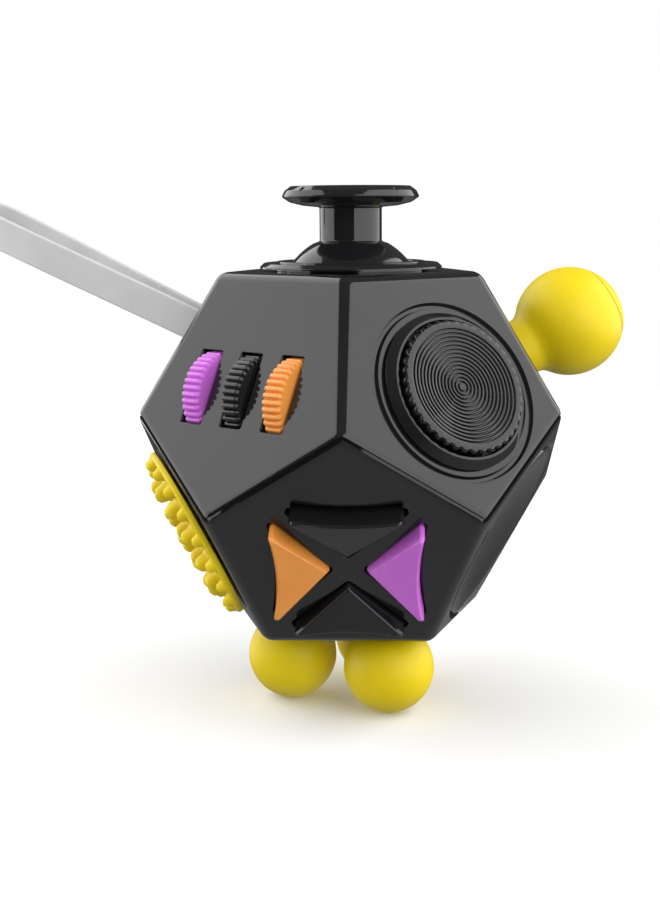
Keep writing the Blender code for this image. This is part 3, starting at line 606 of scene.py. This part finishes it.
# Thumb joystick


def make_joystick():
    top = FACES["stick"]
    collar = [(8.5, 0.7, 0), (8.5, COLLAR_TOP, 0.15), (9.7, COLLAR_TOP, 0.12), (9.85, 0.98, 0.1)]
    collar += [(COLLAR_RADIUS - 0.55, 0.98, 0.2), (COLLAR_RADIUS, FIT_GAP + 0.2, 0.15)]
    collar += [(COLLAR_RADIUS, FIT_GAP, 0), (10.0, FIT_GAP, 0), (10.0, -1.9, 0), (9.65, -1.9, 0)]
    collar += [(9.5, -0.4, 0)]
    piece("joystick_collar", lathe(soften(collar, True), 128, closed=True), top, "black_abs")

    inner = DOME_RADIUS - DOME_WALL
    dome_out = arc(DOME_RADIUS, STICK_PIVOT, 62, 14, 24)
    dome_in = arc(inner, STICK_PIVOT, 14, 66, 12)
    profile = [(0, CAP_TOP - 1.0, 0), (4.6, CAP_TOP - 0.75, 6), (7.2, CAP_TOP - 0.1, 0.6)]
    profile += [(7.85, CAP_TOP, 0.2), (8.65, CAP_TOP - 0.6, 0.3), (CAP_RADIUS, 9.5, 0.25)]
    profile += [(8.0, 8.78, 1.5), (6.2, 8.35, 2.0), (STEM_RADIUS, 8.15, 0.2), (STEM_RADIUS, 3.75, 0.25)]
    profile += [(*dome_out[1], 0)]
    outline = soften(profile) + dome_out[2:] + dome_in + [(2.6, 2.6), (1.6, 2.6), (1.6, 6.0), (0, 6.0)]
    dimples = []
    for angle in (45, 135, 225, 315):
        place = top @ turn(angle, "Z") @ shift(8.45, 0, CAP_TOP - 0.35)
        dimples.append(("DIFFERENCE", ball_bm(0.42), place))
    piece("joystick", lathe(outline, 128), top, "black_abs", "stick", dimples)


def ball_bm(radius, segments=20):
    return lathe([(0, -radius)] + arc(radius, 0, -90, 90, segments // 2)[1:-1] + [(0, radius)], segments)


# Thumb wheels


def make_wheels():
    def toothed(angle, radius, height):
        if radius < 4:
            return radius
        wave = 0.5 - 0.5 * math.cos(WHEEL_TEETH * angle)
        return radius - TOOTH_DEPTH * wave**3

    half = WHEEL_WIDTH / 2
    for name, x in WHEEL_CENTRES.items():
        rim = [(1.25, -half, 0), (4.9, -half, 0), (5.3, -half, 0), (WHEEL_RADIUS, -half + 0.3, 0.25)]
        rim += [(WHEEL_RADIUS, half - 0.3, 0.2), (5.3, half, 0), (4.9, half, 0), (1.25, half, 0)]
        wheel = lathe(soften(rim, True, 3), WHEEL_TEETH * 12, closed=True, ripple=toothed)
        place = FACES["wheels"] @ shift(x, WHEEL_UP, WHEEL_AXIS) @ turn(90, "Y")
        piece(name, wheel, place, WHEEL_LOOKS[name], name)


# Rotary dial


def make_dial():
    place = FACES["dial"] @ shift(*DIAL_CENTRE)
    cup = [(8.7, 0.9, 0.1), (8.85, 1.4, 0.08), (9.2, 1.4, 0.08), (10.15, 0.5, 0.08), (10.15, FIT_GAP, 0)]
    cup += [(9.2, FIT_GAP, 0), (9.2, -4.2, 0), (2.6, -4.2, 0), (2.6, -3.3, 0), (8.7, -3.3, 0)]
    piece("dial_collar", lathe(soften(cup, True), 128, closed=True), place, "black_abs")

    def scalloped(angle, radius, height):
        if radius < 8.45 or height < 1.55:
            return radius
        return radius - 0.34 * (0.5 - 0.5 * math.cos(DIAL_SCALLOPS * angle)) ** 2

    def dish(radius):
        return 1.7 + (DIAL_TOP - 1.7) * (radius / 7.6) ** 2

    disc = [(0, -6.4), (2.3, -6.4), (2.3, -2.7), (8.1, -2.7), (8.1, -1.0), (8.25, -0.9), (DIAL_RADIUS, 0.2)]
    disc += [(8.3, 1.5), (8.62, 1.58), (8.62, 1.95), (8.5, 2.15), (8.2, DIAL_TOP), (7.6, DIAL_TOP)]
    pitch = 7.4 / (DIAL_GROOVES + 0.5)
    for i in range(DIAL_GROOVES):
        radius = 7.4 - pitch * (i + 0.25)
        for offset, depth in GROOVE_SECTION:
            disc.append((radius + offset, dish(radius + offset) - depth))
    disc.append((0, dish(0)))
    piece("dial", lathe(disc, DIAL_SCALLOPS * 8, ripple=scalloped), place, "black_abs", "dial")


# Triangular keys


def key_outline(grow=0.0):
    """A rounded triangle that points at the cluster's middle, with a hollow base. grow widens it."""
    apex = KEY_APEX - grow / math.sin(KEY_HALF_ANGLE)
    base = KEY_BASE + grow
    half = (base - apex) * math.tan(KEY_HALF_ANGLE)
    radius = KEY_CORNER + grow * 0.5
    points = soften([(apex, 0, radius), (base, -half, radius), (base, half, radius)], closed=True)
    low, high = points[11], points[12]
    hollow = []
    for k in range(1, 12):
        t = k / 12
        hollow.append((base - KEY_HOLLOW * (1 - (2 * t - 1) ** 2), low[1] + (high[1] - low[1]) * t))
    return points[:12] + hollow + points[12:]


def base_recess(grow):
    """A shallow bowed slot in the casing, beside the base of the top or bottom key."""
    inner = KEY_BASE - KEY_HOLLOW - 0.4 - grow
    outline = []
    for k in range(9):
        t = k / 8
        bow = KEY_HOLLOW * (1 - (2 * t - 1) ** 2)
        outline.append((KEY_BASE + RECESS_DEPTH + grow - bow, (2 * t - 1) * (RECESS_HALF + grow)))
    return outline + [(inner, RECESS_HALF + grow), (inner, -RECESS_HALF - grow)]


def make_keys():
    levels = [(0.45, KEY_FOOT), (0.45, UNDER_WALL), (0, UNDER_WALL), (0, 0.02), (-0.26, KEY_TOP - 0.14)]
    levels += [(-0.3, KEY_TOP - 0.07), (-0.37, KEY_TOP - 0.02), (-0.46, KEY_TOP)]
    for i, (name, look) in enumerate(KEYS.items()):
        key = loft([(key_outline(grow), height) for grow, height in levels])
        for vert in key.verts:
            if vert.co.z > 0:
                vert.co.z += KEY_RISE * (vert.co.x - KEY_APEX) / (KEY_BASE - KEY_APEX)
        piece(name, key, FACES["keys"] @ shift(*KEYS_CENTRE) @ turn(90 * i, "Z"), look, name, sharp=50)


# Silicone pieces


def make_grip_ball():
    def surface(angle):
        return BALL_RADIUS * math.cos(angle), BALL_HEIGHT + BALL_RADIUS * math.sin(angle)

    profile = [(0, -3.3, 0), (4.9, -3.3, 0), (4.9, UNDER_WALL, 0), (3.3, UNDER_WALL, 0), (3.3, FIT_GAP, 0)]
    profile += [(4.25, FIT_GAP, 0), (4.2, 0.6, 0.1), (3.75, 2.2, 1.5), (4.1, 5.2, 3.0)]
    profile += [(*surface(math.radians(-50)), 2.0)]
    profile = soften(profile + [(*surface(math.radians(-42)), 0)])
    for degrees in range(-38, 90, 4):
        profile.append(surface(math.radians(degrees)))
    profile.append((0, BALL_HEIGHT + BALL_RADIUS))
    steps = []
    for radius in (2.2, 5.5):
        height = BALL_HEIGHT + math.sqrt(BALL_RADIUS**2 - radius**2)
        groove = []
        for k in range(12):
            angle = math.radians(30 * k)
            groove.append((radius + 0.24 * math.cos(angle), height + 0.24 * math.sin(angle)))
        steps.append(("DIFFERENCE", lathe(groove, 96, closed=True), FACES["ball"]))
    piece("grip_ball", lathe(profile, 96), FACES["ball"], "yellow_silicone", steps=steps, flat=False)


def foot_place(i):
    place = polar(FOOT_RING, 90 - FOOT_TURN + 120 * i)
    return shift(place.x, place.y)


def make_feet():
    start = math.degrees(math.asin((FIT_GAP - FOOT_HEIGHT) / FOOT_RADIUS)) + 1
    for i in range(3):
        profile = [(0, -3.1), (3.9, -3.1), (3.9, UNDER_WALL), (2.7, UNDER_WALL), (2.7, FIT_GAP)]
        profile += arc(FOOT_RADIUS, FOOT_HEIGHT, start, 89, 30) + [(0, FOOT_HEIGHT + FOOT_RADIUS)]
        place = FACES["feet"] @ foot_place(i)
        ring = []
        for k in range(12):
            angle = math.radians(30 * k)
            ring.append((3.1 + 0.25 * math.cos(angle), FOOT_HEIGHT + 5.16 + 0.25 * math.sin(angle)))
        steps = [("DIFFERENCE", lathe(ring, 72, closed=True), place)]
        name = f"ball_foot_{i + 1}"
        piece(name, lathe(profile, 80), place, "yellow_silicone", steps=steps, flat=False)


def make_pad():
    profile = [(0, -3.3, 0), (5.6, -3.3, 0), (5.6, UNDER_WALL, 0), (4.05, UNDER_WALL, 0), (4.05, FIT_GAP, 0)]
    profile += [(PAD_RADIUS, FIT_GAP, 0.1), (PAD_RADIUS, PAD_TOP, 0.4), (0, PAD_TOP, 0)]
    nubs = []
    for ring, count, radius, height in NUB_RINGS:
        for i in range(count):
            place = polar(ring, 360 * (i + 0.5) / count)
            nubs.append(("UNION", nub(radius, height), FACES["pad"] @ shift(place.x, place.y)))
    piece("bristle_pad", lathe(soften(profile), 96), FACES["pad"], "yellow_silicone", steps=nubs, flat=False)


def nub(radius, height):
    """A soft cone with a flared foot and a round tip."""
    tip = radius * 0.5
    top = PAD_TOP + height
    profile = [(0, 0.6, 0), (radius, 0.6, 0), (radius, PAD_TOP + 0.02, 0)]
    profile += [(radius * 0.82, PAD_TOP + 0.3, 0.4), (tip * 1.25, top - tip * 0.5, tip * 0.6)]
    profile += [(tip * 0.5, top - 0.05, tip * 0.5), (0, top, 0)]
    return lathe(soften(profile), 20)


# Wrist strap


def strap_route():
    """The band's middle line as (x, z), from behind the bar, out, round the far fold and back again."""
    bend = BAR_RADIUS + FIT_GAP + STRAP_THICKNESS / 2
    straight_end = STRAP_REACH - STRAP_SPREAD
    half = []
    for i in range(7):
        angle = math.radians(-90 + 15 * i)
        half.append((bend * math.cos(angle), BAR_HEIGHT + bend * math.sin(angle)))
    for i in range(1, 25):
        t = i / 24
        ease = t * t * (3 - 2 * t)
        half.append((bend + (STRAP_SPREAD - bend) * ease, BAR_HEIGHT + (straight_end - BAR_HEIGHT) * t))
    for i in range(1, 9):
        angle = math.radians(90 * i / 8)
        half.append((STRAP_SPREAD * math.cos(angle), straight_end + STRAP_SPREAD * math.sin(angle)))
    return half + [(-x, z) for x, z in reversed(half[:-1])]


def make_strap():
    route = strap_route()[:-1]
    section = rectangle(STRAP_WIDTH, STRAP_THICKNESS, 0.3)
    bm = bmesh.new()
    uv = bm.loops.layers.uv.new("UVMap")
    rings = []
    travelled = [0.0]
    for i, (x, z) in enumerate(route):
        before, after = Vector(route[i - 1]), Vector(route[(i + 1) % len(route)])
        along = (after - before).normalized()
        rings.append([bm.verts.new((x + along.y * b, a, z - along.x * b)) for a, b in section])
        travelled.append(travelled[-1] + (Vector(route[(i + 1) % len(route)]) - Vector((x, z))).length)
    around = [0.0]
    for i in range(len(section)):
        around.append(around[-1] + (Vector(section[(i + 1) % len(section)]) - Vector(section[i])).length)
    for i, ring in enumerate(rings):
        following = rings[(i + 1) % len(rings)]
        for k in range(len(section)):
            m = (k + 1) % len(section)
            face = bm.faces.new((ring[k], ring[m], following[m], following[k]))
            corners = ((i, k), (i, k + 1), (i + 1, k + 1), (i + 1, k))
            for loop, (step, side) in zip(face.loops, corners):
                loop[uv].uv = (travelled[step], around[side])
    place = FACES["strap"] @ shift(0, STRAP_UP) @ turn(STRAP_DROOP, "X")
    strap = piece("wrist_strap", bm, place, "grey_strap")


# Flip switch, rolling ball and click buttons


def make_switch():
    place = FACES["rocker"]
    width, length = ROCKER_WIDTH, ROCKER_LENGTH
    levels = [((width + 1.0, length + 1.0, 0.3), -7.0), ((width + 1.0, length + 1.0, 0.3), FIT_GAP)]
    levels += [((width + 3.0, length + 3.0, 1.0), FIT_GAP), ((width + 3.0, length + 3.0, 1.0), 0.65)]
    levels += [((width + 2.85, length + 2.85, 0.95), 0.82), ((width + 2.5, length + 2.5, 0.8), 0.9)]
    bezel = loft([(rectangle(*size), height) for size, height in levels])
    well = loft([(rectangle(width + 0.2, length + 0.2, 0.2), height) for height in (-6.2, 3)])
    lip = shaped_hole(lambda grow: rectangle(width + 0.2, length + 0.2, 0.2, grow), 0.2, -0.8)
    steps = [("DIFFERENCE", well, place), ("DIFFERENCE", lip, place @ shift(0, 0, 0.9))]
    steps.append(("DIFFERENCE", cylinder(0.9, -6, 6), place @ shift(0, 0, -1.6) @ turn(90, "Y")))
    piece("switch_housing", bezel, place, "black_abs", steps=steps)

    reach = length / 2 - 0.75
    side = [(-reach, 2.2, 0.3), (-reach + 0.2, 0.2, 0.2), (-1.6, -1.6, 0.5), (0, -3.2, 0.3), (1.6, -1.6, 0.5)]
    side += [(reach - 0.2, 0.2, 0.2), (reach, 2.2, 0.3), (reach - 0.5, 3.1, 0.4), (0, 2.3, 5.0)]
    side += [(-reach + 0.5, 3.1, 0.4)]
    outline = soften(side, True)
    half = width / 2 - 0.2
    bm = loft([(outline, -half), (outline, half)])
    ends = [edge for edge in bm.edges if abs(edge.verts[0].co.z - edge.verts[1].co.z) < 0.01]
    bmesh.ops.bevel(bm, geom=ends, offset=0.22, segments=4, profile=0.5, affect="EDGES")
    upright = Matrix(((0, 0, 1), (1, 0, 0), (0, 1, 0))).to_4x4()
    swing = place @ shift(0, 0, -1.6) @ turn(-ROCKER_SWING, "X")
    bore = ("DIFFERENCE", cylinder(1.0, -5, 5), swing @ turn(90, "Y"))
    piece("flip_switch", bm, swing @ upright, "black_abs", "flip_switch", [bore])


def make_roller():
    place = FACES["roller"] @ shift(0, 0, ROLLER_HEIGHT)
    piece("rolling_ball", ball_bm(ROLLER_RADIUS, 72), place, "polished_steel", "rolling_ball")


def button_places():
    corners = [(x * BUTTON_SPACING, y * BUTTON_SPACING) for x in (-1, 1) for y in (-1, 1)]
    return [(0, 0)] + corners


def make_buttons():
    for i, ((x, y), look) in enumerate(zip(button_places(), BUTTON_LOOKS)):
        profile = [(0, -3.0, 0), (BUTTON_RADIUS + 0.6, -3.0, 0), (BUTTON_RADIUS + 0.6, UNDER_WALL, 0)]
        profile += [(BUTTON_RADIUS, UNDER_WALL, 0), (BUTTON_RADIUS, BUTTON_TOP, 0.5)]
        profile += [(0, BUTTON_TOP + 0.1, 0)]
        name = f"click_button_{i + 1}"
        piece(name, lathe(soften(profile), 48), FACES["buttons"] @ shift(x, y), look, name)


def dress_inner_parts():
    """Gives each CAD node that still shows the procedural look of its own material slot."""
    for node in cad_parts.values():
        slot = node.data.materials[0].name.split(".")[0]
        node.data.materials[0] = LOOKS[slot]


# Studio


def direction(azimuth_degrees, elevation_degrees):
    azimuth, elevation = math.radians(azimuth_degrees), math.radians(elevation_degrees)
    level = Vector((math.sin(azimuth), -math.cos(azimuth), 0))
    return level * math.cos(elevation) + Vector((0, 0, math.sin(elevation)))


def softbox(name, azimuth, elevation, distance, width, height, radiance, mirrored=True):
    """A panel that faces the middle, in degrees and metres. The gloss mirrors it unless mirrored is False."""
    data = bpy.data.lights.new(name, "AREA")
    data.shape = "RECTANGLE"
    data.size = width
    data.size_y = height
    data.energy = radiance * math.pi * width * height
    light = bpy.data.objects.new(name, data)
    out = direction(azimuth, elevation)
    light.location = MIDDLE * MM + out * distance
    light.rotation_euler = out.to_track_quat("Z", "Y").to_euler()
    light.visible_camera = False
    light.visible_glossy = mirrored
    bpy.context.scene.collection.objects.link(light)


def make_lights():
    softbox("panel_left", -104, 20, 0.6, 1.15, 0.95, PANEL_RADIANCE)
    softbox("panel_right", 75, 20, 0.6, 2.2, 0.95, PANEL_RADIANCE)
    softbox("fill_top", 0, 88, 0.7, 0.9, 0.9, 0.5, mirrored=False)
    softbox("fill_front", -15, 25, 0.9, 0.9, 0.6, 0.7, mirrored=False)


def make_world():
    """Soft grey surroundings, darkest at the horizon, for the gloss to mirror."""
    world = bpy.data.worlds.new("studio")
    world.use_nodes = True
    tree = world.node_tree
    coordinates = tree.nodes.new("ShaderNodeTexCoord")
    split = tree.nodes.new("ShaderNodeSeparateXYZ")
    spread = tree.nodes.new("ShaderNodeMapRange")
    spread.inputs["From Min"].default_value = -1
    ramp = tree.nodes.new("ShaderNodeValToRGB")
    tree.links.new(coordinates.outputs["Generated"], split.inputs["Vector"])
    tree.links.new(split.outputs["Z"], spread.inputs["Value"])
    tree.links.new(spread.outputs["Result"], ramp.inputs["Fac"])
    tree.links.new(ramp.outputs["Color"], tree.nodes["Background"].inputs["Color"])
    shades = ((0.0, 0.5), (0.2, 0.4), (0.4, 0.06), (0.55, 0.05), (0.75, 0.12), (1.0, 0.2))
    while len(ramp.color_ramp.elements) < len(shades):
        ramp.color_ramp.elements.new(0.5)
    for element, (place, shade) in zip(ramp.color_ramp.elements, shades):
        element.position = place
        element.color = (shade, shade, shade, 1)
    world.cycles.sampling_method = "NONE"
    bpy.context.scene.world = world


def glow(name, brightness):
    look = bpy.data.materials.new(name)
    look.use_nodes = True
    shader = look.node_tree.nodes["Principled BSDF"]
    shader.inputs["Base Color"].default_value = (0, 0, 0, 1)
    shader.inputs["Specular IOR Level"].default_value = 0
    shader.inputs["Emission Color"].default_value = (1, 1, 1, 1)
    shader.inputs["Emission Strength"].default_value = brightness
    look.cycles.emission_sampling = "NONE"
    return look


def make_stage():
    """A pale floor, a white backdrop for the camera and a dimmer dome that only lights matt surfaces."""
    disc = bmesh.new()
    bmesh.ops.create_circle(disc, cap_ends=True, segments=96, radius=FLOOR_RADIUS)
    floor = new_object("studio_floor", disc, shift(0, 0, FLOOR / MM))
    paper = finish("paper", (0.86, 0.86, 0.86), (0.88, 0.88, 0.88), (0.7, 0.8), 20, 300, 900, 1e-5, {})
    floor.data.materials.append(paper)
    floor.visible_glossy = False
    floor.visible_diffuse = False
    for name, radius, brightness in STAGE_SHELLS:
        dome = lathe([(0, -radius)] + arc(radius, 0, -88, 88, 24) + [(0, radius)], 64)
        shell = new_object(name, dome, shift(0, 0))
        shell.data.materials.append(glow(name + "_glow", brightness))
        shell.visible_glossy = False
        shell.visible_shadow = False
        shell.visible_transmission = False
        shell.visible_camera = name == "studio_backdrop"
        shell.visible_diffuse = name == "studio_dome"


def make_camera():
    data = bpy.data.cameras.new("camera")
    data.lens = CAMERA_LENS
    data.shift_x, data.shift_y = CAMERA_SHIFT
    data.clip_start = 0.01
    camera = bpy.data.objects.new("camera", data)
    back = direction(math.degrees(CAMERA_AZIMUTH), math.degrees(CAMERA_ELEVATION))
    right = Vector((math.cos(CAMERA_AZIMUTH), math.sin(CAMERA_AZIMUTH), 0))
    up = back.cross(right)
    rolled_right = right * math.cos(CAMERA_ROLL) + up * math.sin(CAMERA_ROLL)
    rolled_up = up * math.cos(CAMERA_ROLL) - right * math.sin(CAMERA_ROLL)
    matrix = Matrix((rolled_right, rolled_up, back)).transposed().to_4x4()
    matrix.translation = MIDDLE * MM + back * CAMERA_DISTANCE
    camera.matrix_world = matrix
    bpy.context.scene.collection.objects.link(camera)
    bpy.context.scene.camera = camera
    bpy.context.scene.view_settings.view_transform = "Standard"


LOOKS = make_looks()
dress_inner_parts()
make_upper_shell()
make_lower_shell()
make_joystick()
make_wheels()
make_dial()
make_keys()
make_grip_ball()
make_feet()
make_pad()
make_strap()
make_switch()
make_roller()
make_buttons()
make_lights()
make_world()
make_stage()
make_camera()
